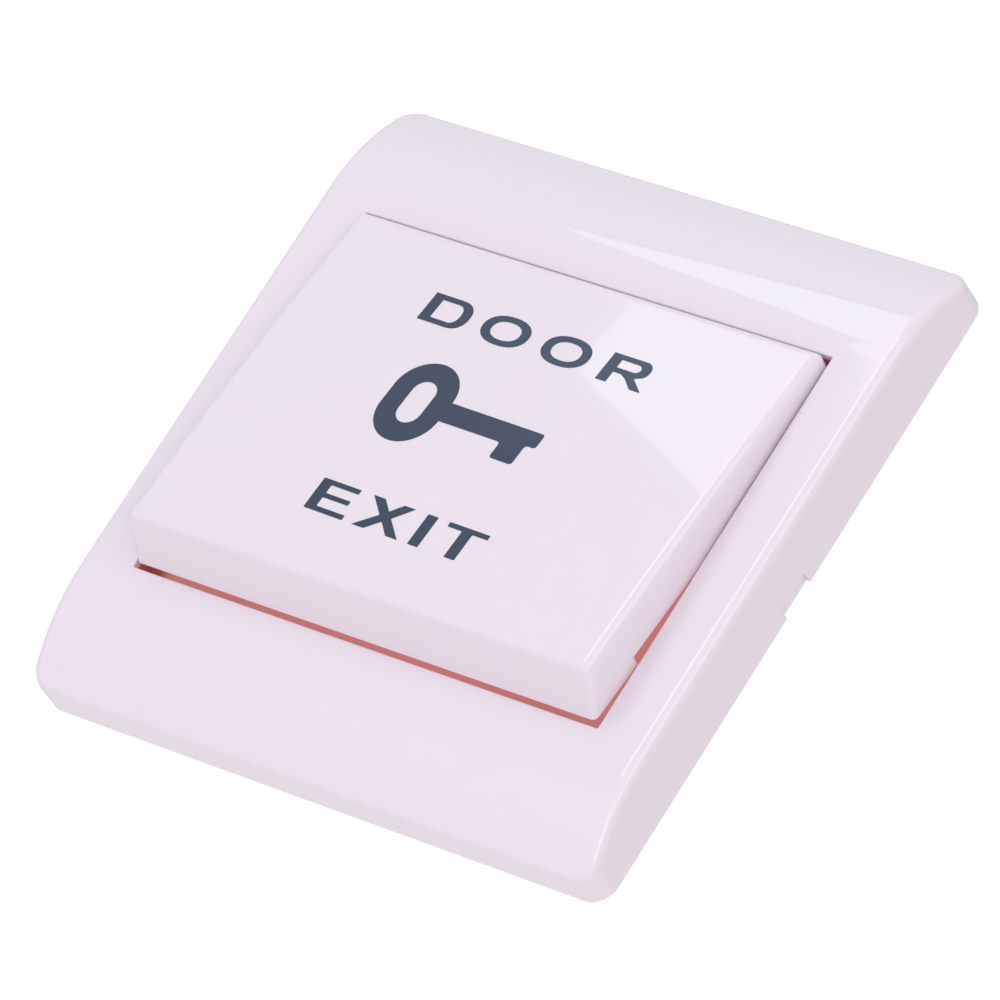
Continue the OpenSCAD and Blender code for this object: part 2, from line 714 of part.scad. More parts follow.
// Switch case: the contact chamber, three terminal pockets along its lower side, and two ears.
module switch_case() {
  color(black) on_wall() difference() {
    union() {
      box([-case_w / 2, case_bottom_y, case_back], [case_w / 2, case_top_y, floor_back]);
      box([-ear_end, -ear_w / 2, floor_back - ear_t], [ear_end, ear_w / 2, floor_back]);
    }
    box([-cavity_x, -cavity_y, cavity_z], [cavity_x, cavity_y, floor_back + over]);
    box([-cavity_x - lid_lap, -cavity_y - lid_lap, floor_back - lid_t],
        [cavity_x + lid_lap, cavity_y + lid_lap, floor_back + over]);
    for (i = [-1, 0, 1]) terminal_pocket(i * terminal_pitch);
    strip_slots();
    for (x = [-1, 1]) translate([x * ear_x, 0, floor_back - ear_t - over])
      cylinder(r = case_screw_r + ear_hole_play, h = ear_t + 2 * over);
  }
  color(black) on_wall()
    translate([pin_x + lever_spring_arm, 0, cavity_z])
      cylinder(r = lever_spring_r - lever_spring_wire - lever_stub_play, h = lever_stub_h);
}

// Pocket for one terminal: open to the back and to the lower side, with the screw's hole.
module terminal_pocket(x) {
  box([x - pocket_w / 2, case_bottom_y - over, case_back - over],
      [x + pocket_w / 2, terminal_wall_y, terminal_z + strip_t]);
  translate([x, terminal_y, terminal_z])
    cylinder(r = screw_r + screw_hole_play, h = strip_t + screw_past + screw_room);
}

// Slots through the wall between the chamber and the terminals, for the three strips.
module strip_slots() {
  box([-terminal_pitch - strip_w / 2, terminal_wall_y - over, cavity_z],
      [-terminal_pitch + strip_w / 2, -cavity_y + over, cavity_z + strip_t]);
  box([-strip_w / 2, terminal_wall_y - over, cavity_z],
      [strip_w / 2, -cavity_y + over, cavity_z + strip_t]);
  box([terminal_pitch - strip_w / 2, terminal_wall_y - strip_t, nc_strip_z],
      [terminal_pitch + strip_w / 2, -cavity_y + over, nc_strip_z + strip_t]);
  box([terminal_pitch - strip_w / 2, terminal_wall_y - strip_t, terminal_z],
      [terminal_pitch + strip_w / 2, terminal_wall_y, nc_strip_z + strip_t]);
}

// Lid of the chamber with the plunger's guide, held between the case and the carrier.
module case_lid() {
  color(black) on_wall() difference() {
    union() {
      box([-cavity_x - lid_lap + lid_gap, -cavity_y - lid_lap + lid_gap, floor_back - lid_t],
          [cavity_x + lid_lap - lid_gap, cavity_y + lid_lap - lid_gap, floor_back]);
      translate([0, 0, guide_end]) cylinder(r = guide_r, h = floor_z - guide_end);
    }
    translate([0, 0, guide_end - over])
      cylinder(r = plunger_r + plunger_play, h = floor_z - guide_end + 2 * over);
  }
}

// Places a piece drawn on a level lever, pin at the origin, at the lever's rest angle.
module at_pin() {
  translate([pin_x, 0, pin_z]) rotate([0, -half_swing, 0]) children();
}

// Contact lever: a strip with a rolled knuckle on the pin and a rivet hole at its tip.
module contact_lever() {
  color(brass) on_wall() at_pin() difference() {
    union() {
      box([0, -lever_w / 2, -lever_t / 2], [lever_end, lever_w / 2, lever_t / 2]);
      rotate([90, 0, 0]) cylinder(r = knuckle_r, h = lever_w, center = true);
    }
    rotate([90, 0, 0]) cylinder(r = pin_r + pin_play, h = lever_w + over, center = true);
    translate([contact_arm, 0, 0]) cylinder(r = contact_r / 2, h = 2 * lever_t, center = true);
  }
}

// Double-faced silver rivet in the lever's tip.
module lever_contact() {
  color(silver) on_wall() at_pin() translate([contact_arm, 0, 0]) {
    cylinder(r = contact_r / 2, h = lever_t, center = true);
    for (side = [0, 1]) mirror([0, 0, side]) translate([0, 0, lever_t / 2]) contact_head();
  }
}

// Domed head of a contact, flat side on z = 0.
module contact_head() {
  dome_r = (contact_r * contact_r + rivet_h * rivet_h) / (2 * rivet_h);
  intersection() {
    translate([0, 0, rivet_h - dome_r]) sphere(r = dome_r);
    cylinder(r = contact_r + over, h = rivet_h);
  }
}

// Steel pin of the lever, in the ears of the common strip.
module lever_pin() {
  color(steel) on_wall() translate([pin_x, 0, pin_z]) rotate([90, 0, 0])
    cylinder(r = pin_r, h = lever_w + 2 * (strip_t + pin_past), center = true);
}

// Small spring that lifts the lever against the upper contact.
module lever_spring() {
  arm = lever_spring_arm;
  under = pin_z + arm * sin(half_swing) - lever_t / 2 / cos(half_swing);
  slope = (lever_spring_r + lever_spring_wire) * tan(half_swing);
  color(steel) on_wall() translate([pin_x + arm, 0, cavity_z + stop_gap])
    coil(lever_spring_r, lever_spring_wire, under - cavity_z - slope - push_gap - stop_gap,
         lever_spring_turns, small_coil_steps, coil_sides);
}

// A terminal's landing under its screw, with the riser that reaches a strip at height z.
module landing(x, z) {
  low = min(z, terminal_z);
  high = max(z, terminal_z) + strip_t;
  difference() {
    box([x - strip_w / 2, terminal_y - strip_w / 2, terminal_z],
        [x + strip_w / 2, terminal_wall_y, terminal_z + strip_t]);
    translate([x, terminal_y, terminal_z - over]) cylinder(r = screw_r, h = strip_t + 2 * over);
  }
  box([x - strip_w / 2, terminal_wall_y - strip_t, low], [x + strip_w / 2, terminal_wall_y, high]);
}

// Common strip: landing, riser, base on the chamber's floor and two ears for the pin.
module com_strip() {
  ear_y = lever_w / 2 + strip_ear_gap;
  color(brass) on_wall() {
    landing(-terminal_pitch, cavity_z);
    box([-terminal_pitch - strip_w / 2, terminal_wall_y - strip_t, cavity_z],
        [-terminal_pitch + strip_w / 2, ear_y + strip_t, cavity_z + strip_t]);
    difference() {
      for (side = [0, 1]) mirror([0, side, 0]) {
        box([pin_x - strip_ear_back, ear_y, cavity_z],
            [pin_x + strip_ear_front, ear_y + strip_t, pin_z]);
        translate([pin_x - strip_ear_set, ear_y + strip_t, pin_z]) rotate([90, 0, 0])
          cylinder(r = strip_ear_r, h = strip_t);
      }
      translate([pin_x, 0, pin_z]) rotate([90, 0, 0])
        cylinder(r = pin_r, h = 4 * lever_w, center = true);
    }
  }
}

// Upper strip: its contact is closed while the button is at rest.
module nc_strip() {
  color(brass) on_wall() difference() {
    union() {
      landing(terminal_pitch, nc_strip_z);
      box([terminal_pitch - strip_w / 2, terminal_wall_y - strip_t, nc_strip_z],
          [terminal_pitch + strip_w / 2, nc_step_y, nc_strip_z + strip_t]);
      box([contact_x - contact_r - contact_rim, nc_tongue_low, nc_strip_z],
          [terminal_pitch + strip_w / 2, contact_r + tongue_rim, nc_strip_z + strip_t]);
    }
    translate([contact_x, 0, nc_strip_z - over])
      cylinder(r = contact_r / 2, h = strip_t + 2 * over);
  }
}

// Lower strip: its contact closes when the button is pressed.
module no_strip() {
  color(brass) on_wall() difference() {
    union() {
      landing(0, cavity_z);
      box([-strip_w / 2, terminal_wall_y - strip_t, cavity_z],
          [strip_w / 2, no_step_y, cavity_z + strip_t]);
      box([strip_w / 2 - no_tongue_lap, -cavity_y, cavity_z],
          [contact_x + contact_r + contact_rim, contact_r + tongue_rim, cavity_z + strip_t]);
    }
    translate([contact_x, 0, cavity_z - over])
      cylinder(r = contact_r / 2, h = strip_t + 2 * over);
  }
}

// Silver contact of the upper strip, facing the lever from above.
module nc_contact() {
  color(silver) on_wall() translate([contact_x, 0, nc_strip_z]) {
    cylinder(r = contact_r / 2, h = strip_t);
    mirror([0, 0, 1]) contact_head();
  }
}

// Silver contact of the lower strip, facing the lever from below.
module no_contact() {
  color(silver) on_wall() translate([contact_x, 0, cavity_z + strip_t]) {
    translate([0, 0, -strip_t]) cylinder(r = contact_r / 2, h = strip_t);
    contact_head();
  }
}

// Square pressure plates under the three terminal screws.
module wire_clamps() {
  color(steel) on_wall() for (i = [-1, 0, 1])
    translate([i * terminal_pitch, terminal_y, terminal_z - clamp_t]) difference() {
      translate([-strip_w / 2, -strip_w / 2, 0]) cube([strip_w, strip_w, clamp_t]);
      translate([0, 0, -over]) cylinder(r = screw_r + clamp_hole_play, h = clamp_t + 2 * over);
      for (side = [-1, 1]) translate([0, side * (strip_w / 2 - clamp_groove_y), clamp_t])
        cube([2 * strip_w, clamp_groove[0], 2 * clamp_groove[1]], center = true);
    }
}

// A slotted pan-head screw, head downwards from z = 0, shank upwards.
module pan_screw(shank_r, shank_len, r, h) {
  difference() {
    union() {
      cylinder(r = shank_r, h = shank_len);
      translate([0, 0, -h + r / 4]) cylinder(r = r, h = h - r / 4);
      translate([0, 0, -h + r / 4]) intersection() {
        mirror([0, 0, 1]) cylinder(r = r, h = r / 4);
        translate([0, 0, 2 * r - r / 8]) sphere(r = 2.125 * r);
      }
    }
    for (a = [0, 90]) rotate([0, 0, a]) translate([0, 0, -h])
      cube([1.3 * r, r / 4, h], center = true);
  }
}

// The three terminal screws.
module terminal_screws() {
  color(steel) on_wall() for (i = [-1, 0, 1])
    translate([i * terminal_pitch, terminal_y, terminal_z - clamp_t])
      pan_screw(screw_r, clamp_t + strip_t + screw_past, head_r, head_h);
}

// The two screws that hold the contact block to the carrier.
module case_screws() {
  color(steel) on_wall() for (x = [-1, 1])
    translate([x * ear_x, 0, floor_back - ear_t])
      pan_screw(case_screw_r, case_screw_end - case_screw_tip_gap - floor_back + ear_t,
                case_head_r, case_head_h);
}

face_frame();
carrier();
button();
return_spring_left();
return_spring_right();
plunger();
switch_case();
case_lid();
contact_lever();
lever_contact();
lever_pin();
lever_spring();
com_strip();
nc_strip();
no_strip();
nc_contact();
no_contact();
wire_clamps();
terminal_screws();
case_screws();
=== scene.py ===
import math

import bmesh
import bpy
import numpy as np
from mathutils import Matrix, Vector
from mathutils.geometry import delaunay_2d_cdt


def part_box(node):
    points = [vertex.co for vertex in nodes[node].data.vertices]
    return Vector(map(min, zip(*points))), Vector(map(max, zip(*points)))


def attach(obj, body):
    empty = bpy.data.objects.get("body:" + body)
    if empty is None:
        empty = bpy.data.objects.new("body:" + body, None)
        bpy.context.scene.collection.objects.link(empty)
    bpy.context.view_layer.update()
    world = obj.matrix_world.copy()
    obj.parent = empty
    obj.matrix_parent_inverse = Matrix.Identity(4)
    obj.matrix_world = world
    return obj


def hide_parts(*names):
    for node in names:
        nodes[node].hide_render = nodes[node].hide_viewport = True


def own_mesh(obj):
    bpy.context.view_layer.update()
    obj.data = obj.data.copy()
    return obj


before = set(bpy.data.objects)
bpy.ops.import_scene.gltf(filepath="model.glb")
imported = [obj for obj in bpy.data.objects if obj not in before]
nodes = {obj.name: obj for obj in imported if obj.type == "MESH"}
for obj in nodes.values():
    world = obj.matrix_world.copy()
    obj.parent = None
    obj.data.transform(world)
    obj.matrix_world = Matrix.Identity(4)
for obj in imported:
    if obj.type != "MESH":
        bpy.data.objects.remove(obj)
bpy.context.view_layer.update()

# %% [markdown]
# # A flush door exit button
#
# The real object is a small wall device on the common square 86 mm plate. A glossy off-white
# cover frame with an arched face clips over a red-brown carrier plate. In the frame's window
# sits one large push button, hinged near its top edge, so at rest it stands out at the bottom
# by a few millimetres. A press tilts it by 5 degrees, and a plunger behind it works a small
# changeover contact.
#
# The CAD part gives the places and the motion. This script gives the looks: the two glossy
# mouldings are rebuilt as smooth surfaces from formulas, because their reflections show every
# change of slope, and everything behind them keeps its CAD shape and gets a real finish.
#
# Lengths inside the formulas are in millimetres in the wall's own directions: x to the right,
# y up the wall, z out of the wall. One function turns them into the model's metres.

MM = 0.001


def to_model(p):
    """Wall directions in mm to the model's metres: (x, y, z) becomes (x, -z, y)."""
    p = np.asarray(p, float)
    return np.stack([p[..., 0], -p[..., 2], p[..., 1]], -1) * MM


def linear(hex_colour):
    """sRGB hex to linear RGBA: c/12.92 below 0.04045, else ((c + 0.055)/1.055)^2.4."""
    c = np.array([int(hex_colour[i:i + 2], 16) / 255 for i in (1, 3, 5)])
    c = np.where(c <= 0.04045, c / 12.92, ((c + 0.055) / 1.055) ** 2.4)
    return (*c.tolist(), 1.0)


def make_piece(name, points, faces, material, body, crease=30.0):
    """A mesh object from points in mm and faces, smooth but for edges sharper than crease."""
    mesh = bpy.data.meshes.new(name)
    mesh.from_pydata(to_model(points).tolist(), [], [list(map(int, f)) for f in faces])
    weld = bmesh.new()
    weld.from_mesh(mesh)
    bmesh.ops.remove_doubles(weld, verts=weld.verts, dist=1e-7)
    bmesh.ops.dissolve_degenerate(weld, edges=weld.edges, dist=1e-8)
    weld.to_mesh(mesh)
    weld.free()
    mesh.shade_smooth()
    mesh.set_sharp_from_angle(angle=math.radians(crease))
    mesh.materials.append(material)
    obj = bpy.data.objects.new(name, mesh)
    bpy.context.scene.collection.objects.link(obj)
    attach(obj, body)
    return obj


def grid_faces(rows, columns, start=0, closed=False):
    """Quads of a grid of points stored row by row; closed joins the last column to the first."""
    i = np.arange(rows - 1)[:, None]
    j = np.arange(columns if closed else columns - 1)[None, :]
    k = (j + 1) % columns
    a, b = i * columns + j, i * columns + k
    c, d = (i + 1) * columns + k, (i + 1) * columns + j
    return np.stack([a, b, c, d], -1).reshape(-1, 4) + start


class Shape:
    """Collects grids of points and their faces into one piece."""

    def __init__(self):
        self.points, self.faces, self.count = [], [], 0

    def grid(self, g, closed=False, flip=False):
        rows, columns = g.shape[:2]
        f = grid_faces(rows, columns, self.count, closed)
        self.faces.append(f[:, ::-1] if flip else f)
        self.points.append(g.reshape(-1, 3))
        self.count += rows * columns
        return self

    def made(self):
        return np.concatenate(self.points), np.concatenate(self.faces)


# %% [markdown]
# ## Finishes
#
# The cover and the button are injection-moulded ABS with a polished mould surface: glossy,
# slightly lavender white. A polished moulding is never quite flat, because the plastic shrinks
# as it cools, so reflections get soft wavy borders. That is a bump of long, very low waves
# (about 14 mm across) with a trace of fine grain on top. The carrier is a red-brown plastic
# with a finer spark-eroded mould surface, so it is semi-matt. Metals are zinc-plated screws,
# bright spring wire, brass strips and pressed silver contacts.
#
# Every pattern is made from Object coordinates in real millimetres, so it stays on its piece
# when the piece moves.


# %% Material tools
DRIFT_MM, ROUGH_SWING = 3.1, 0.1
FINISH_IOR = 1.5


def add_node(tree, kind, links=None, **settings):
    """Adds a node; settings set its inputs or properties, links joins its inputs to outputs."""
    n = tree.nodes.new(kind)
    for key, value in settings.items():
        label = key.replace("_", " ")
        if label in n.inputs:
            n.inputs[label].default_value = value
        else:
            setattr(n, key, value)
    for key, source in (links or {}).items():
        tree.links.new(source, n.inputs[key])
    return n


def finish_of(name, dark, light, rough, wave_mm, wave_depth_mm, grain_mm, grain_depth_mm,
              metal=0.0, stretch=(1, 1, 1)):
    """One procedural finish: colour and roughness drift with noise, bump is waves plus grain.

    colour = mix(dark, light, noise(p / 3.1 mm)); roughness runs with the same noise from
    rough (1 - swing) to rough (1 + swing); the height is wave_depth noise(p / wave) plus
    grain_depth noise(p / grain). stretch makes the pattern longer along a direction.
    """
    m = bpy.data.materials.new(name)
    m.use_nodes = True
    t = m.node_tree
    t.nodes.clear()
    place = add_node(t, "ShaderNodeTexCoord")
    scaled = add_node(t, "ShaderNodeMapping", {"Vector": place.outputs["Object"]},
                      Scale=tuple(1 / MM / s for s in stretch))
    p = scaled.outputs["Vector"]
    drift = add_node(t, "ShaderNodeTexNoise", {"Vector": p}, Scale=1 / DRIFT_MM,
                     Detail=3.0)
    tone = add_node(t, "ShaderNodeMix", {"Factor": drift.outputs["Fac"]}, data_type="RGBA")
    tone.inputs["A"].default_value = linear(dark)
    tone.inputs["B"].default_value = linear(light)
    swing = add_node(t, "ShaderNodeMapRange", {"Value": drift.outputs["Fac"]})
    swing.inputs["To Min"].default_value = rough * (1 - ROUGH_SWING)
    swing.inputs["To Max"].default_value = rough * (1 + ROUGH_SWING)
    wave = add_node(t, "ShaderNodeTexNoise", {"Vector": p}, Scale=1 / wave_mm, Detail=1.0)
    grain = add_node(t, "ShaderNodeTexNoise", {"Vector": p}, Scale=1 / grain_mm, Detail=2.0)
    low = add_node(t, "ShaderNodeBump", {"Height": wave.outputs["Fac"]},
                   Distance=wave_depth_mm * MM, Strength=1.0)
    fine = add_node(t, "ShaderNodeBump",
                    {"Height": grain.outputs["Fac"], "Normal": low.outputs["Normal"]},
                    Distance=grain_depth_mm * MM, Strength=1.0)
    skin = add_node(t, "ShaderNodeBsdfPrincipled",
                    {"Base Color": tone.outputs["Result"], "Roughness": swing.outputs["Result"],
                     "Normal": fine.outputs["Normal"]},
                    Metallic=metal, IOR=FINISH_IOR)
    add_node(t, "ShaderNodeOutputMaterial", {"Surface": skin.outputs["BSDF"]})
    return m


ivory = finish_of("abs_moulded_gloss_ivory", "#E9DEE6", "#EBE0E8", 0.03, 14, 0.012,
                  0.35, 0.0002)
carrier_red = finish_of("abs_moulded_semimatt_red_brown", "#C47E7F", "#CA8585", 0.42, 9, 0.01,
                        0.25, 0.004)
case_black = finish_of("phenolic_moulded_black", "#1E1E20", "#2A2A2D", 0.5, 8, 0.02, 0.3, 0.006)
acetal = finish_of("acetal_turned_natural", "#DAD5C4", "#E8E4D6", 0.3, 6, 0.004, 0.2, 0.001)
spring_wire = finish_of("steel_drawn_spring_wire", "#9A9CA0", "#B9BBBF", 0.28, 4, 0.002, 0.15,
                        0.001, metal=1.0)
zinc = finish_of("steel_zinc_plated", "#B4B8BC", "#D2D5D8", 0.3, 3, 0.004, 0.12, 0.0015,
                 metal=1.0)
brass = finish_of("brass_stamped_strip", "#B98F48", "#D6AE63", 0.32, 5, 0.003, 0.18, 0.0015,
                  metal=1.0, stretch=(1, 1, 4))
silver = finish_of("silver_pressed_contact", "#D6D5D0", "#EEEDEA", 0.22, 2, 0.002, 0.1, 0.0008,
                   metal=1.0)
ink = finish_of("ink_pad_printed_slate_blue", "#2C374F", "#313C54", 0.2, 6, 0.002, 0.2, 0.0006)
print("finishes", len(bpy.data.materials))

# %% [markdown]
# ## The cover frame
#
# The frame is one moulding: a square shell whose face is flat in the middle and falls in an
# arc of 26 mm radius towards the top and bottom edges, with a rounded edge all round. Its
# window has a thin lip over the carrier's rim. Four tabs behind it clip into the carrier, and
# a shallow pocket at the back of the right edge takes the screwdriver that lifts it off.
#
# Here it is one closed section carried round the outline. Each ring of the surface is a
# rounded rectangle of its own size; its height comes from the arch. The edge rounding is a
# true circle at every place: where the face meets the wall at a flatter angle, because the
# face has already sloped down, the circle spans a smaller angle.


# %% The frame's formulas
PLATE = 43.0
CORNER = 3.0
FACE_Z, ARCH_Y, ARCH_R = 9.0, 28.0, 26.0
EDGE_R = 1.3
SHELL = 2.0
WINDOW_X, WINDOW_LOW, WINDOW_TOP, WINDOW_CORNER = 35.4, -26.4, 26.0, 0.12
WINDOW_ROUND = 0.18
RIM_X, RIM_LOW, RIM_TOP, RIM_CORNER = 37.4, -28.4, 28.0, 0.3
LIP_Z, RIM_STEP_Z = 8.0, 7.0
NOTCH_HALF, NOTCH_H, NOTCH_DEPTH = 2.6, 1.85, 0.6
TAB_X, TAB_OUT, TAB_Y, TAB_HALF, TAB_FOOT = 38.4, 39.4, 17.0, 3, 0.25
BARB_X, BARB_OUT, BARB_LOW, BARB_TOP = 39.3, 39.9, 0.65, 1.05
HAIR = 2e-4


def arch(y, thickness=0.0):
    """Height of the face over the wall: 9 mm while |y| < 28, then z = zc + sqrt(R^2 - a^2)."""
    a = np.clip(np.abs(y) - ARCH_Y, 0, None)
    r = ARCH_R - thickness
    return FACE_Z - ARCH_R + np.sqrt(np.clip(r * r - a * a, 0, None))


def arch_slope(y):
    """dz/dy of the face: -a / sqrt(R^2 - a^2), signed with y."""
    a = np.clip(np.abs(y) - ARCH_Y, 0, None)
    return -np.sign(y) * a / np.sqrt(ARCH_R ** 2 - a * a)


def outline(half, low, high, r, along_x, along_y, turns):
    """A rounded rectangle walked anticlockwise from its lower left side.

    along_x and along_y are places on the straight sides from -1 to 1, turns the steps of a
    corner. Returns points (n, 2) and outward directions (n, 2).
    """
    mid, reach = (low + high) / 2, (high - low) / 2 - r
    q = np.linspace(0, np.pi / 2, turns + 1)[1:-1]
    pts, out = [], []
    for k in range(4):
        side, places = [(0, along_x), (1, along_y)][k % 2]
        direction = np.array([[0, -1], [1, 0], [0, 1], [-1, 0]][k], float)
        forward = np.array([[1, 0], [0, 1], [-1, 0], [0, -1]][k], float)
        run = (half - r) if k % 2 == 0 else reach
        stand = (high - low) / 2 if k % 2 == 0 else half
        pts.append(direction * stand + forward * (places * run)[:, None])
        out.append(np.repeat(direction[None], len(places), 0))
        centre = np.array([[1, -1], [1, 1], [-1, 1], [-1, -1]][k]) * [half - r, reach]
        a = q + (k - 1) * np.pi / 2
        d = np.stack([np.cos(a), np.sin(a)], 1)
        pts.append(centre + r * d)
        out.append(d)
    return np.concatenate(pts) + [0, mid], np.concatenate(out)


FRAME_X = np.linspace(-1, 1, 61)
pair = NOTCH_HALF / (PLATE - CORNER)
FRAME_Y = np.sort(np.concatenate([np.linspace(-1, 1, 81),
                                  [-pair - HAIR, -pair, pair, pair + HAIR]]))
CORNER_STEPS = 16
walk = (FRAME_X, FRAME_Y, CORNER_STEPS)


def ring(xy, z):
    """Points (x, y, z) from an outline (n, 2) and one height or n of them."""
    return np.concatenate([xy, np.broadcast_to(z, len(xy))[:, None]], 1)


rim, outward = outline(PLATE, -PLATE, PLATE, CORNER, *walk)
inner, _ = outline(PLATE - SHELL, -PLATE + SHELL, PLATE - SHELL, CORNER - 1, *walk)
notch = (outward[:, 0] > 0.999) & (np.abs(rim[:, 1]) <= NOTCH_HALF)
base = np.where(notch, NOTCH_H, 0.0)

# the edge circle: its centre lies r inside the wall and r below the sloping face
lean = np.zeros(len(rim))
for _ in range(4):
    inset = EDGE_R * (1 - np.sin(lean))
    foot = rim - outward * inset[:, None]
    lean = np.arctan(np.clip(-arch_slope(foot[:, 1]) * outward[:, 1], 0, None))
centre_z = arch(foot[:, 1]) - EDGE_R * np.cos(lean)

rings = [ring(rim, base)]
for t in (0.06, 0.5, 0.94, 1.0):
    rings.append(ring(rim, base + t * (centre_z - base)))
for t in np.linspace(0, 1, 21)[1:]:
    a = t * (np.pi / 2 - lean)
    d = EDGE_R * (1 - np.cos(a))
    rings.append(ring(rim - outward * d[:, None], centre_z + EDGE_R * np.sin(a)))


def mouth_at(g):
    """The window's outline, grown by g."""
    return outline(WINDOW_X + g, WINDOW_LOW - g, WINDOW_TOP + g, WINDOW_CORNER + g, *walk)[0]


mouth = mouth_at(WINDOW_ROUND)
for t in (0.003, *np.linspace(0, 1, 49)[1:-1], 0.997, 1.0):
    xy = foot + (mouth - foot) * t
    rings.append(ring(xy, arch(xy[:, 1])))
for a in np.linspace(0, np.pi / 2, 7)[1:]:
    xy = mouth_at(WINDOW_ROUND * (1 - math.sin(a)))
    rings.append(ring(xy, FACE_Z - WINDOW_ROUND * (1 - math.cos(a))))
# the lip's underside, the step over the carrier's rim and the inside of the shell
rings.append(ring(xy, LIP_Z))
under, _ = outline(RIM_X, RIM_LOW, RIM_TOP, RIM_CORNER, *walk)
rings.append(ring(under, LIP_Z))
rings.append(ring(under, RIM_STEP_Z))
for t in (0.5, 1.0):
    xy = under + (inner - under) * t
    rings.append(ring(xy, np.minimum(arch(xy[:, 1], SHELL), RIM_STEP_Z)))
# the back edge, with the pry notch as a pocket in the right wall
recess = rim - outward * np.where(notch, NOTCH_DEPTH, 0.0)[:, None]
rings += [ring(inner, 0), ring(recess, 0), ring(recess, base), ring(rim, base)]
shell = Shape().grid(np.stack(rings), closed=True)


def block(shape, low, high, turn=None):
    """Adds a plain box between two corners; turn maps its corners elsewhere."""
    l, h = np.array(low, float), np.array(high, float)
    c = np.array([[l[0] if i in (0, 3, 4, 7) else h[0], l[1] if i in (0, 1, 4, 5) else h[1],
                   l[2] if i < 4 else h[2]] for i in range(8)])
    c = c if turn is None else turn(c)
    shape.points.append(c)
    shape.faces.append(np.array([[0, 3, 2, 1], [4, 5, 6, 7], [0, 1, 5, 4], [1, 2, 6, 5],
                                 [2, 3, 7, 6], [3, 0, 4, 7]]) + shape.count)
    shape.count += 8


def prism(shape, section, low, high, turn=None):
    """Adds a bar along x between low and high whose section is a list of (y, z) corners."""
    s = np.array(section, float)
    n = len(s)
    c = np.concatenate([np.column_stack([np.full(n, x), s]) for x in (low, high)])
    c = c if turn is None else turn(c)
    shape.points.append(c)
    sides = [[i, (i + 1) % n, n + (i + 1) % n, n + i] for i in range(n)]
    ends = [[0, i + 1, i] for i in range(1, n - 1)] + [[n, n + i, n + i + 1]
                                                       for i in range(1, n - 1)]
    shape.faces.append([[v + shape.count for v in f] for f in ends + sides])
    shape.count += 2 * n


frame_points, frame_faces = shell.made()
tabs = Shape()
for side in (-1, 1):
    for y in (-TAB_Y, TAB_Y):
        xs = sorted([side * TAB_X, side * TAB_OUT])
        block(tabs, (xs[0], y - TAB_HALF, TAB_FOOT), (xs[1], y + TAB_HALF, RIM_STEP_Z + 0.1))
        xs = sorted([side * BARB_X, side * BARB_OUT])
        block(tabs, (xs[0], y - TAB_HALF, BARB_LOW), (xs[1], y + TAB_HALF, BARB_TOP))
tab_points, tab_faces = tabs.made()
cover = make_piece("cover_frame", np.concatenate([frame_points, tab_points]),
                   frame_faces.tolist() + (tab_faces + len(frame_points)).tolist(),
                   ivory, "root")
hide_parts("face_frame")
print("cover frame", len(cover.data.polygons), "faces")

# %% [markdown]
# ## The push button
#
# The button is a thin shell, open at the back. Its face bulges by about half a millimetre over
# its 49 mm height, an arc of 538 mm radius, which is what bends the reflection of the window.
# In its upper part the arc bends a little more and then flattens, by less than a tenth of a
# millimetre. That is a guess from the wedge of light on the photo's button. It doesn't bring
# out the wedge's soft upper border, so the real face has some other profile there.
# Its sides stand square to the face, its lower wall leans back, and all its edges are rounded.
# Hinge stubs near its top edge turn in the carrier. It hangs tilted by 6 degrees.
#
# The surface is again a set of rings, this time in the button's own directions: x across, v up
# the face from the hinge line, w out of it. The rounding spans 90 degrees at the sides and
# 90 minus the lean at the lower wall, and blends round the corners.


# %% The button's formulas
TILT = math.radians(6.0)
HINGE_Y, HINGE_Z = 23.2, 6.4
HALF, V_TOP = 35.0, 1.8664
SKIRT, STEP, STEP_LEN = 2.15, 1.35, 8.6
UPRIGHT = 0.75
LEAN = math.radians(19.5)
CAP, CROWN, ROUNDING, WALL = 4.45, 0.55, 1.2, 1.8
V_LOW = -math.sqrt((HINGE_Y - WINDOW_LOW - 0.45) ** 2 - SKIRT ** 2)
V_FACE = V_LOW + (SKIRT + CAP) * math.tan(LEAN)
V_MID, SPAN = (V_TOP + V_FACE) / 2, V_TOP - V_FACE
BULGE_R = (SPAN ** 2 / 4 + CROWN ** 2) / (2 * CROWN)
DIP_AT, DIP_W, DIP_SLOPE, EASE_SLOPE = 11.95, 4.0, 0.0126, 0.0256
CARRIER_FLOOR, PLUNGER_OUT, PUSH_GAP = 4.4, 2.2, 0.1
NOSE_R, NOSE_HALF = 1.5, 2.5
RIB_X, RIB_LOW, RIB_TOP, RIB_T, CROSS_RIB_LOW, CROSS_RIB_SET = 13.0, 1.0, 3.0, 1.2, 1.6, 16
RIB_END_LOW, RIB_END_TOP, ROOT_TOP = 3, 1.5, 3.2
HOOK_X, HOOK_HALF, HOOK_Y, HOOK_T, FLOOR_BACK = 26, 2, 10.0, 1.2, 2.8
HOOK_NOSE, HOOK_FACE, HOOK_FLAT, HOOK_TIP = 1.9, 0.2, 1, 1.8
STUB_IN, STUB_OUT, STUB_R = 33.0, 36.85, 1.0
BOSS_IN, BOSS_OUT, BOSS_R = 30.8, 34.0, 1.6
erf = np.vectorize(math.erf)


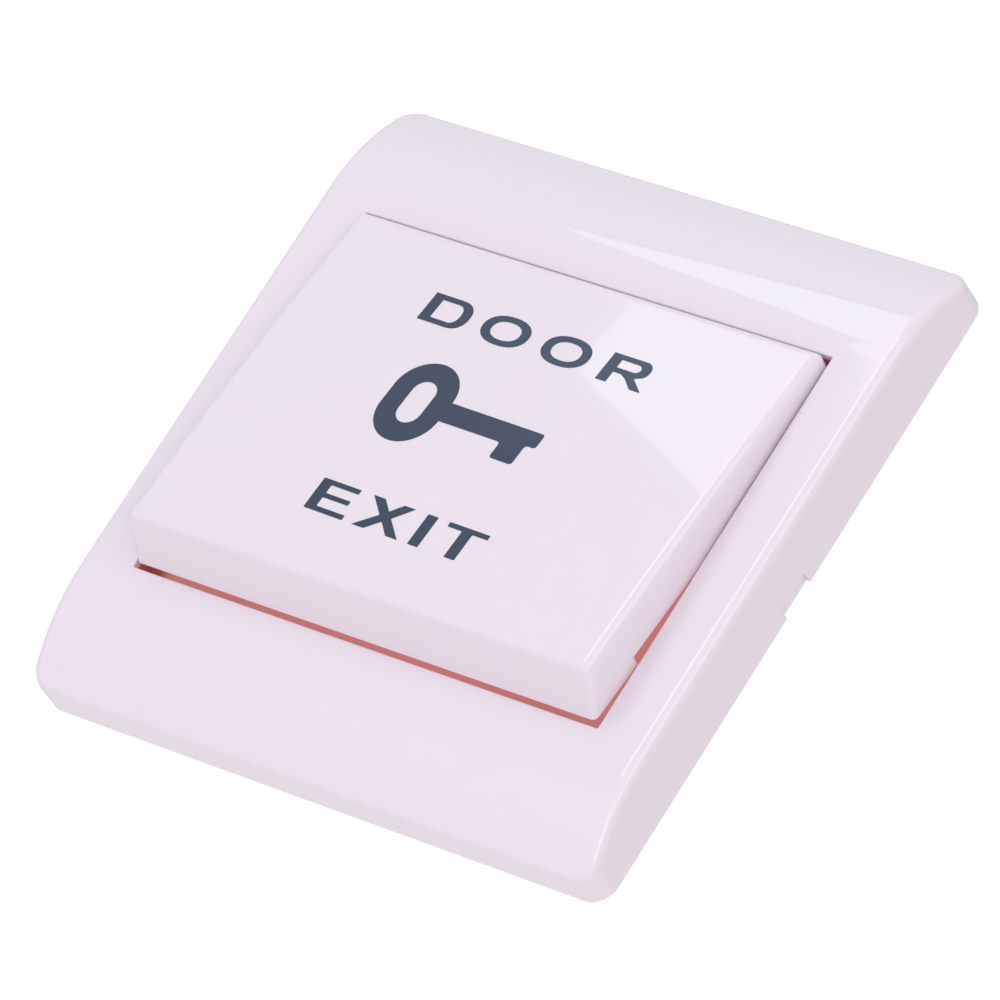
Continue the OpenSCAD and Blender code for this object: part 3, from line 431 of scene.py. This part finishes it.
def crowned(v):
    """Height of the button's face over the hinge line, with s = v - vm from its middle.

    An arc wc + sqrt(R^2 - s^2), less a smooth step 0.5 a b sqrt(pi) (1 + erf((s - s0) / b)),
    whose slope is greatest at s0, plus 4 c ((s - s0) / 10)^2.5 past s0.
    """
    s = v - V_MID
    arc = CAP + CROWN - BULGE_R + np.sqrt(BULGE_R ** 2 - s ** 2)
    dip = DIP_SLOPE * DIP_W * math.sqrt(math.pi) / 2 * (1 + erf((s - DIP_AT) / DIP_W))
    return arc - dip + 4 * EASE_SLOPE * (np.clip(s - DIP_AT, 0, None) / 10) ** 2.5


def hang(p):
    """The button's own (x, v, w) to wall directions: a turn by the tilt about the hinge line."""
    x, v, w = p[..., 0], p[..., 1], p[..., 2]
    return np.stack([x, HINGE_Y + v * math.cos(TILT) + w * math.sin(TILT),
                     HINGE_Z - v * math.sin(TILT) + w * math.cos(TILT)], -1)


BUTTON_X = np.linspace(-1, 1, 61)
step_at = (2 * (V_LOW + STEP_LEN) - V_LOW - V_TOP) / (V_TOP - V_LOW - 2 * UPRIGHT)
BUTTON_Y = np.sort(np.concatenate([np.linspace(-1, 1, 49), [step_at, step_at + 4e-4]]))
BUTTON_CORNER_STEPS = 14
around = (BUTTON_X, BUTTON_Y, BUTTON_CORNER_STEPS)
_, away = outline(HALF, V_LOW, V_TOP, UPRIGHT, *around)
low_side = np.clip(-away[:, 1], 0, 1) ** 2
lean_here = LEAN * low_side
w_edge = float(crowned(np.array(V_FACE + 2)))


def wall_ring(t, inset=0.0, top=None):
    """A ring of the side walls, t = 0 at the skirt's lower edge, 1 where the rounding starts."""
    w_low = -SKIRT + t * ((w_edge - ROUNDING + ROUNDING * math.sin(LEAN)) + SKIRT)
    low = V_LOW + (w_low + SKIRT) * math.tan(LEAN) + inset / math.cos(LEAN)
    xy, _ = outline(HALF - inset, low, V_TOP - inset, max(UPRIGHT - inset, 0.2), *around)
    deep = (xy[:, 1] < V_LOW + STEP_LEN + 0.004) | (away[:, 1] < -0.5)
    bottom = np.where(deep, -SKIRT, -SKIRT + STEP)
    end = crowned(xy[:, 1]) - ROUNDING + ROUNDING * np.sin(lean_here) if top is None else top(xy)
    return ring(xy, bottom + t * (end - bottom))


rings = [wall_ring(t) for t in (0, 0.04, 0.3, 0.6, 0.94, 1.0)]
centre_low = (w_edge - ROUNDING + SKIRT) * math.tan(LEAN) + ROUNDING / math.cos(LEAN)
for t in np.linspace(0, 1, 21)[1:]:
    d = ROUNDING * (1 - math.cos(t * np.pi / 2))
    low = V_LOW + centre_low - ROUNDING * math.cos(LEAN + t * (np.pi / 2 - LEAN))
    xy, _ = outline(HALF - d, low, V_TOP - d, max(UPRIGHT - d, 0.0), *around)
    a = lean_here + t * (np.pi / 2 - lean_here)
    rings.append(ring(xy, crowned(xy[:, 1]) - ROUNDING * (1 - np.sin(a))))
body = Shape().grid(hang(np.stack(rings)), closed=True)


def face_grid(half, low, high, height):
    """A sheet x = half p, v = middle + (high - low) / 2 q, w = height(v) for p, q in -1 to 1."""
    close = np.array([-0.998, 0.998])
    across, along = (np.sort(np.concatenate([s, close])) for s in (BUTTON_X, BUTTON_Y))
    x, v = np.meshgrid(across * half, (low + high) / 2 + along * (high - low) / 2)
    return hang(np.stack([x, v, height(v)], -1))


FACE_LOW = V_LOW + centre_low
body.grid(face_grid(HALF - ROUNDING, FACE_LOW, V_TOP - ROUNDING, crowned))
inside = [wall_ring(0), wall_ring(0, WALL),
          wall_ring(1, WALL, lambda xy: crowned(xy[:, 1]) - WALL)]
body.grid(hang(np.stack(inside)), closed=True, flip=True)
lid_low = float(inside[-1][:, 1].min())
body.grid(face_grid(HALF - WALL, lid_low, V_TOP - WALL, lambda v: crowned(v) - WALL),
          flip=True)

# behind the face: two long ribs, two cross ribs and the nose that presses the plunger
parts = Shape()
for x in (-RIB_X, RIB_X):
    block(parts, (x - RIB_T / 2, V_LOW + RIB_END_LOW, RIB_LOW),
          (x + RIB_T / 2, V_TOP - RIB_END_TOP, RIB_TOP), hang)
tip_z = CARRIER_FLOOR + PLUNGER_OUT + PUSH_GAP + NOSE_R - HINGE_Z
tip_v = -HINGE_Y * math.cos(TILT) - tip_z * math.sin(TILT)
tip_w = -HINGE_Y * math.sin(TILT) + tip_z * math.cos(TILT)
for v in (tip_v - RIB_T / 2, tip_v - CROSS_RIB_SET):
    block(parts, (1 - HALF, v, CROSS_RIB_LOW), (HALF - 1, v + RIB_T, RIB_TOP), hang)
block(parts, (-NOSE_HALF, tip_v - RIB_T / 2, tip_w), (NOSE_HALF, tip_v + RIB_T / 2, ROOT_TOP),
      hang)
turn = np.linspace(0, 2 * np.pi, 40, endpoint=False)


def round_bar(v, w, r):
    """The section of a round bar: (v + r cos a, w + r sin a)."""
    return [(v + r * math.cos(a), w + r * math.sin(a)) for a in turn]


prism(parts, round_bar(tip_v, tip_w, NOSE_R), -NOSE_HALF, NOSE_HALF, hang)
# the hinge stubs, their bosses and the hooks that catch behind the carrier's floor
hook_y, hook_z = HOOK_Y - HINGE_Y, FLOOR_BACK - HINGE_Z
hook_v = hook_y * math.cos(TILT) - hook_z * math.sin(TILT)
hook_w = hook_z * math.cos(TILT) + hook_y * math.sin(TILT)
for side in (-1, 1):
    a, b = sorted([side * STUB_IN, side * STUB_OUT])
    prism(parts, round_bar(0, 0, STUB_R), a, b, hang)
    a, b = sorted([side * BOSS_IN, side * BOSS_OUT])
    prism(parts, round_bar(0, 0, BOSS_R), a, b, hang)
    left, right_end = side * HOOK_X - HOOK_HALF, side * HOOK_X + HOOK_HALF
    block(parts, (left, hook_v - HOOK_T / 2, hook_w - HOOK_FLAT),
          (right_end, hook_v + HOOK_T / 2, ROOT_TOP), hang)
    prism(parts, [(hook_v, hook_w - HOOK_TIP), (hook_v + HOOK_T / 2, hook_w - HOOK_TIP),
                  (hook_v + HOOK_NOSE, hook_w - HOOK_FLAT),
                  (hook_v + HOOK_NOSE, hook_w - HOOK_FACE),
                  (hook_v, hook_w - HOOK_FACE)], left, right_end, hang)
body_points, body_faces = body.made()
part_points = np.concatenate(parts.points)
part_faces = [list(np.array(f) + len(body_points)) for g in parts.faces for f in g]
push = make_piece("push_button", np.concatenate([body_points, part_points]),
                  body_faces.tolist() + part_faces, ivory, "button")
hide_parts("button")
print("push button", len(push.data.polygons), "faces; face edge at v", round(V_FACE, 2))

# %% [markdown]
# ## The printed words and sign
#
# The button says what it does: DOOR above, EXIT below and a key between them, pad-printed in
# slate blue. A pad print is a few hundredths of a millimetre thick and follows the bulge of
# the face. The letters are wide and plain, with thick uprights and thin bars, drawn here from
# their own corners and arcs. Each outline is cut into short steps, filled with triangles and
# lifted onto the crowned face. The whole print sits turned by about one degree, as measured
# in the photograph.


# %% The print
def arc(cx, cy, rx, ry, a0, a1, power=2.0, steps=28):
    """Points of a squarish ellipse: (cos^(2/p), sin^(2/p)) scaled to the two half widths."""
    a = np.radians(np.linspace(a0, a1, steps))
    c, s = np.cos(a), np.sin(a)
    return np.stack([cx + rx * np.sign(c) * np.abs(c) ** (2 / power),
                     cy + ry * np.sign(s) * np.abs(s) ** (2 / power)], 1).tolist()


def softened(corners, r=0.14, steps=5):
    """Rounds each corner of a closed outline with a small arc, drawn as a quadratic curve."""
    c = np.array(corners, float)
    before_c, after_c = np.roll(c, 1, 0), np.roll(c, -1, 0)
    out = []
    for p, q, n in zip(before_c, c, after_c):
        a, b = np.linalg.norm(p - q), np.linalg.norm(n - q)
        ra, rb = min(r, a * 0.45), min(r, b * 0.45)
        s, e = q + (p - q) / a * ra, q + (n - q) / b * rb
        for t in np.linspace(0, 1, steps):
            out.append((1 - t) ** 2 * s + 2 * t * (1 - t) * q + t * t * e)
    return out


def stepped(points, longest=0.8):
    """Cuts a closed outline's long edges into steps."""
    p = np.array(points, float)
    out = []
    for a, b in zip(p, np.roll(p, -1, 0)):
        n = max(1, int(np.ceil(np.linalg.norm(b - a) / longest)))
        out.extend(a + (b - a) * i / n for i in range(n))
    return np.array(out)


def within(spots, loop):
    """Whether each spot lies in a closed outline: a ray to the right crosses it oddly often."""
    a, b = loop[None], np.roll(loop, -1, 0)[None]
    x, y = spots[:, :1], spots[:, 1:]
    spans = (a[..., 1] > y) != (b[..., 1] > y)
    rise = np.where(spans, b[..., 1] - a[..., 1], 1.0)
    crossing = a[..., 0] + (y - a[..., 1]) * (b[..., 0] - a[..., 0]) / rise
    return (spans & (x < crossing)).sum(1) % 2 == 1


def lettered(x0, y0, corners, r=0.14):
    """A letter's corners, moved to (x0, y0) and softened."""
    return softened([(x0 + x, y0 + y) for x, y in corners], r)


def stadium(cx, cy, r, reach, steps=26):
    """Two half circles of radius r, reach above and below the middle."""
    return arc(cx, cy + reach, r, r, 0, 180, steps=steps) + arc(cx, cy - reach, r, r, 180, 360,
                                                                steps=steps)


H1, B1 = 4.27, 11.82
glyphs = []
glyphs.append(([(-17.22, B1 + H1), (-17.22, B1)]
               + arc(-13.0, B1 + H1 / 2, 2.42, H1 / 2, -90, 90, 2.3),
               [(-15.68, B1 + 0.76), (-15.68, B1 + H1 - 0.76)]
               + arc(-13.15, B1 + H1 / 2, 1.15, H1 / 2 - 0.76, 90, -90, 2.3)))
for cx in (-4.95, 4.35):
    glyphs.append((arc(cx, B1 + H1 / 2, 3.5, H1 / 2 + 0.06, 0, 354, 2.25, 72),
                   arc(cx, B1 + H1 / 2, 2.13, H1 / 2 - 0.79, 354, 0, 2.25, 72)))
glyphs.append((lettered(0, B1, [(10.25, H1), (10.25, 0), (11.85, 0), (11.85, 1.62), (13.0, 1.62),
                                (13.9, 1.2), (15.42, 0), (17.08, 0), (15.45, 1.72)], 0.1)[:-5]
               + [(15.05, B1 + 1.55), (15.45, B1 + 1.78)]
               + arc(15.1, B1 + 3.02, 1.34, 1.25, -75, 90, 2.2),
               [(11.85, B1 + 2.36), (11.85, B1 + 3.52)]
               + arc(14.3, B1 + 2.94, 0.75, 0.58, 90, -90, 2.1, 14)))
H2, B2 = 4.5, -16.62
glyphs.append((lettered(0, B2, [(-13.05, H2), (-13.05, 0), (-7.1, 0), (-7.1, 0.7), (-11.5, 0.7),
                                (-11.5, 1.98), (-7.62, 1.98), (-7.62, 2.64), (-11.5, 2.64),
                                (-11.5, 3.8), (-7.32, 3.8), (-7.32, H2)]), None))
glyphs.append((lettered(0, B2, [(-5.42, H2), (-2.95, 2.3), (-5.6, 0), (-3.75, 0), (-2.05, 1.55),
                                (-0.35, 0), (1.45, 0), (-1.15, 2.3), (1.08, H2), (-0.66, H2),
                                (-2.05, 3.1), (-3.62, H2)], 0.1), None))
glyphs.append((lettered(0, B2, [(2.98, H2), (2.98, 0), (4.56, 0), (4.56, H2)]), None))
glyphs.append((lettered(0, B2, [(6.32, H2), (6.32, H2 - 0.68), (8.55, H2 - 0.68), (8.55, 0),
                                (10.15, 0), (10.15, H2 - 0.68), (12.44, H2 - 0.68),
                                (12.44, H2)]), None))
shaft = softened([(-4.9, -0.26), (4.95, -0.28), (4.95, -2.63), (8.36, -2.63), (8.36, 0.36),
                  (9.82, 0.36), (9.82, 2.54), (-4.9, 2.56)], 0.5, 7)
shaft = [p for p in shaft if p[0] > -4.4 + 1e-6]
bow = [p for p in stadium(-8.95, 1.1, 4.49, 1.42, 40) if not (p[0] > -5.2 and -0.24 < p[1] < 2.5)]
cut = next(i for i, p in enumerate(bow) if p[0] > -5.0 and p[1] >= 2.5)
glyphs.append((bow[cut:] + bow[:cut] + shaft, stadium(-8.95, 1.1, 1.69, 1.42, 22)[::-1]))

INK_LIFT = 0.015
TURN = math.radians(-0.95)
pts, faces = [], []
for outer, hole in glyphs:
    loops = [stepped(outer)] + ([stepped(hole)] if hole is not None else [])
    flat = np.concatenate(loops)
    edges, start = [], 0
    for loop in loops:
        n = len(loop)
        edges += [(start + i, start + (i + 1) % n) for i in range(n)]
        start += n
    verts, _, tris, _, _, _ = delaunay_2d_cdt([Vector(p) for p in flat], edges, [], 1, 1e-6)
    spots = np.array([np.mean([verts[i] for i in t], axis=0) for t in tris])
    filled = np.ones(len(tris), bool) if hole is None else ~within(spots, loops[1])
    faces += [[len(pts) + i for i in t] for t, keep in zip(tris, filled) if keep]
    pts += [tuple(v) for v in verts]
flat = np.array(pts)
turned = flat @ np.array([[math.cos(TURN), math.sin(TURN)], [-math.sin(TURN), math.cos(TURN)]])
v = V_MID + turned[:, 1]
legend = make_piece("printed_legend",
                    hang(np.stack([turned[:, 0], v, crowned(v) + INK_LIFT], -1)),
                    faces, ink, "button", crease=80)
print("legend", len(legend.data.polygons), "triangles")

# %% [markdown]
# ## Springs
#
# Two compression springs push the button out and a small one lifts the contact lever. A
# closed-end spring is wound so that its end turns lie flat and only the middle turns have
# pitch. Each is a tube of round wire along that path.


# %% The springs
def coil(centre, r, wire, low, high, turns, per_turn=48, sides=14):
    """Wire along (r cos 2 pi t, r sin 2 pi t, h(t)); h is flat over each end turn."""
    t = np.linspace(0, turns, turns * per_turn + 1)
    lay = wire * 1.12
    rise = high - low - wire
    h = np.interp(t, [0, 1, turns - 1, turns], [0, lay, rise - lay, rise])
    a = 2 * np.pi * t[:, None]
    b = np.linspace(0, 2 * np.pi, sides, endpoint=False)[None, :]
    reach = r + wire / 2 * np.cos(b)
    return np.stack([centre[0] + reach * np.cos(a), centre[1] + reach * np.sin(a),
                     low + wire / 2 + h[:, None] + wire / 2 * np.sin(b)], -1)


for node, r, wire, turns, joint, keep in (
        ("return_spring_left", 3.1, 0.5, 7, "button_press", 0.62),
        ("return_spring_right", 3.1, 0.5, 7, "button_press", 0.62),
        ("lever_spring", 1.7, 0.35, 5, "contact_swing", 0.66)):
    lo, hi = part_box(node)
    place = ((lo.x + hi.x) / 2 / MM, (lo.z + hi.z) / 2 / MM)
    low, high = -hi.y / MM, -lo.y / MM
    tube = Shape().grid(coil(place, r, wire, low, high, turns), closed=True)
    points, faces_of = tube.made()
    spring = make_piece(node + "_wire", points, faces_of, spring_wire, "root")
    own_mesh(spring)
    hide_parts(node)
    print(node, "height", round(high - low, 2), "mm")

# %% [markdown]
# ## Finishes of the pieces behind the cover
#
# The carrier, the contact block and its metal parts keep their CAD shape. Their finish is set
# piece by piece.

# %% Finishes by piece
finish_by_node = {
    "carrier": carrier_red, "plunger": acetal, "switch_case": case_black,
    "case_lid": case_black, "contact_lever": brass, "com_strip": brass, "nc_strip": brass,
    "no_strip": brass, "lever_contact": silver, "nc_contact": silver, "no_contact": silver,
    "lever_pin": zinc, "wire_clamps": zinc, "terminal_screws": zinc, "case_screws": zinc}
for name, material in finish_by_node.items():
    for s in nodes[name].material_slots:
        s.material = material
print("finished", len(finish_by_node), "CAD pieces")

# %% [markdown]
# ## Floor, light and camera
#
# The photograph is a cut-out on pure white. The object is lit by a wide pale room and one
# bright window to the left and above, whose slanting edge shows as the border of the bright
# corner on the button's face and as a wedge on the frame's upper arch. A second pane draws
# the thin bright line down the right edge, and a softbox lights the right wall.
#
# Light also comes through the thin white button and makes the carrier glow in the gap. Two
# weak lamp sheets inside stand for it, which is quicker than light scattered in the plastic.

# %% Stage
FLOOR_HALF, FLOOR_Z = 6, -0.55
FLOOR_GLOW = 0.96
SHEET_NOISE, SHEET_SWING = 4.0, 0.03
INNER_X, INNER_Y = 69.4 * MM, 51.6 * MM
INNER_PLACE = (0, -0.2, 5.2)
KEY_PLACE, KEY_SIZE, KEY_POWER = (0.66, -0.80, -0.34), 0.36, 1.1
LENS_MM, SENSOR_MM = 330.8, 36.0
EYE_PLACE = (0.6390, -0.7842, -0.3354)

scene = bpy.context.scene
scene.view_settings.view_transform = "Standard"
scene.view_settings.look = "None"


def floor_finish(name, hex_colour, glow):
    """A pale matt table; to every ray but the camera's it is evenly lit."""
    m = bpy.data.materials.new(name)
    m.use_nodes = True
    t = m.node_tree
    t.nodes.clear()
    place = add_node(t, "ShaderNodeTexCoord")
    noise = add_node(t, "ShaderNodeTexNoise", {"Vector": place.outputs["Object"]}, Scale=8.0)
    tone = add_node(t, "ShaderNodeMix", {"Factor": noise.outputs["Fac"]}, data_type="RGBA")
    tone.inputs["A"].default_value = linear(hex_colour)
    tone.inputs["B"].default_value = [min(1, c * 1.03) for c in linear(hex_colour)]
    skin = add_node(t, "ShaderNodeBsdfPrincipled", {"Base Color": tone.outputs["Result"]},
                    Roughness=0.6)
    lit = add_node(t, "ShaderNodeEmission", {"Color": tone.outputs["Result"]}, Strength=glow)
    ray_kind = add_node(t, "ShaderNodeLightPath")
    mixed = add_node(t, "ShaderNodeMixShader", {0: ray_kind.outputs["Is Camera Ray"],
                                                1: lit.outputs["Emission"],
                                                2: skin.outputs["BSDF"]})
    add_node(t, "ShaderNodeOutputMaterial", {"Surface": mixed.outputs["Shader"]})
    return m


def flat_sheet(name, corners, material):
    """One flat face between corners in metres, as a piece of the set."""
    mesh = bpy.data.meshes.new(name)
    mesh.from_pydata([tuple(c) for c in corners], [], [list(range(len(corners)))])
    mesh.materials.append(material)
    obj = bpy.data.objects.new(name, mesh)
    bpy.context.scene.collection.objects.link(obj)
    return obj


flat_sheet("studio_floor", [(x * FLOOR_HALF, y * FLOOR_HALF, FLOOR_Z)
                            for x, y in ((-1, -1), (1, -1), (1, 1), (-1, 1))],
           floor_finish("studio_floor_matt", "#F4F2F6", FLOOR_GLOW))

# the window: a sheet one metre away, square to the direction the button's face mirrors
ray = np.array([-0.6006, 0.4605, 0.6537])
across = np.array([0.7364, 0.0, 0.6766])
upward = np.array([0.3115, 0.8877, -0.3391])


def on_card(a, b):
    """A place on the window's plane, a mm across and b mm upward from its middle."""
    return tuple(to_model(ray * 1000.0 + across * a + upward * b))


def glowing_sheet(name, corners, hex_colour, strength, axis=None, fade=(0.0, 1.0)):
    """A shining sheet; its light rises smoothly from 0 to full between two places on an axis."""
    m = bpy.data.materials.new(name + "_glow")
    m.use_nodes = True
    t = m.node_tree
    t.nodes.clear()
    spot = add_node(t, "ShaderNodeTexCoord").outputs["Object"]
    cloud = add_node(t, "ShaderNodeTexNoise", {"Vector": spot}, Scale=SHEET_NOISE)
    level = add_node(t, "ShaderNodeMapRange", {"Value": cloud.outputs["Fac"]})
    level.inputs["To Min"].default_value = strength * (1 - SHEET_SWING)
    level.inputs["To Max"].default_value = strength * (1 + SHEET_SWING)
    power = level.outputs["Result"]
    if axis is not None:
        along = add_node(t, "ShaderNodeVectorMath", {0: spot}, operation="DOT_PRODUCT")
        along.inputs[1].default_value = (axis[0], -axis[2], axis[1])
        rise = add_node(t, "ShaderNodeMapRange", {"Value": along.outputs["Value"]},
                        interpolation_type="SMOOTHSTEP")
        rise.inputs["From Min"].default_value = fade[0] * MM
        rise.inputs["From Max"].default_value = fade[1] * MM
        power = add_node(t, "ShaderNodeMath", {0: power, 1: rise.outputs["Result"]},
                         operation="MULTIPLY").outputs["Value"]
    glow = add_node(t, "ShaderNodeEmission", {"Strength": power}, Color=linear(hex_colour))
    add_node(t, "ShaderNodeOutputMaterial", {"Surface": glow.outputs["Emission"]})
    obj = flat_sheet(name, corners, m)
    obj.visible_camera = False
    return obj


# the window's main pane, soft towards its left side, as a curtain makes it
glowing_sheet("window_main_pane",
              [on_card(*c) for c in ((-56, 122), (-48, 112), (-10, 74), (20, 48), (58, 18),
                                     (94, -24), (118, -95), (130, -130), (130, 460), (-56, 460))],
              "#DEFBFD", 2.5, across, (-56, -38))
# the side pane, which shows as the thin bright line on the frame's right edge
glowing_sheet("window_side_pane",
              [on_card(*c) for c in ((130, -130), (172, -230), (190, -430), (470, -430),
                                     (470, 150), (130, 150))],
              "#EAFBFF", 4.0)
# the softbox on the right, softer towards the middle
side = np.array([0.62, 0.20, 0.76])
side_across, side_up = np.array([0.775, 0.0, -0.632]), np.array([-0.126, 0.98, -0.155])
glowing_sheet("right_softbox",
              [tuple(to_model(side * 1000 + side_across * a + side_up * b))
               for a, b in ((-120, -350), (420, -350), (420, 350), (-120, 350))],
              "#FFF8FC", 2.4, side_across, (-120, 40))

# what the white shell lets through: two lamp sheets over the carrier's floor, one lights
# the floor, the other one, weaker and salmon like the floor, lights the gap's walls
for name, quarter_turns, power, hex_colour in (("light_through_shell", 1, 0.0068, "#FFFCFC"),
                                               ("light_off_the_floor", -1, 0.0030, "#E79A98")):
    through = bpy.data.lights.new(name, "AREA")
    through.shape = "RECTANGLE"
    through.size, through.size_y = INNER_X, INNER_Y
    through.energy = power
    through.color = linear(hex_colour)[:3]
    lamp = bpy.data.objects.new(name, through)
    scene.collection.objects.link(lamp)
    lamp.location = to_model(INNER_PLACE)
    lamp.rotation_euler = (math.radians(90 * quarter_turns), 0, 0)
    lamp.visible_camera = lamp.visible_glossy = False

# a round lamp beside the camera, so that the walls that face it have no dark corners
key = bpy.data.lights.new("camera_lamp", "AREA")
key.shape = "DISK"
key.size = KEY_SIZE
key.energy = KEY_POWER
key.color = (1.0, 0.97, 0.98)
key_lamp = bpy.data.objects.new("camera_lamp", key)
scene.collection.objects.link(key_lamp)
key_lamp.location = KEY_PLACE
key_lamp.rotation_euler = Vector(KEY_PLACE).to_track_quat("Z", "Y").to_euler()
key_lamp.visible_camera = False

# the room: a little brighter overhead, and plain white where the camera looks past the set
world = bpy.data.worlds.new("pale_room")
scene.world = world
world.use_nodes = True
tree = world.node_tree
tree.nodes.clear()
path = add_node(tree, "ShaderNodeLightPath")
place = add_node(tree, "ShaderNodeTexCoord")
split = add_node(tree, "ShaderNodeSeparateXYZ", {"Vector": place.outputs["Generated"]})
ramp = add_node(tree, "ShaderNodeMapRange", {"Value": split.outputs["Z"]})
for label, value in {"From Min": -0.1, "From Max": 1.0, "To Min": 0.62, "To Max": 0.72}.items():
    ramp.inputs[label].default_value = value
room = add_node(tree, "ShaderNodeBackground", {"Strength": ramp.outputs["Result"]},
                Color=linear("#FBFDFF"))
white = add_node(tree, "ShaderNodeBackground", Color=(1, 1, 1, 1), Strength=1.0)
seen = add_node(tree, "ShaderNodeMixShader", {0: path.outputs["Is Camera Ray"],
                                               1: room.outputs["Background"],
                                               2: white.outputs["Background"]})
add_node(tree, "ShaderNodeOutputWorld", {"Surface": seen.outputs["Shader"]})

# the camera stands where the photograph's perspective puts it, low on the right
cam = bpy.data.cameras.new("camera")
cam.sensor_width = SENSOR_MM
cam.lens = LENS_MM
cam.clip_end = 20
eye = bpy.data.objects.new("camera", cam)
scene.collection.objects.link(eye)
right = Vector((0.7589, 0.4003, 0.5136)).normalized()
back = -Vector((-0.6005, 0.7351, 0.3145)).normalized()
up = back.cross(right).normalized()
facing = Matrix((right, up, back)).transposed()
eye.matrix_world = Matrix.Translation(EYE_PLACE) @ facing.to_4x4()
scene.camera = eye
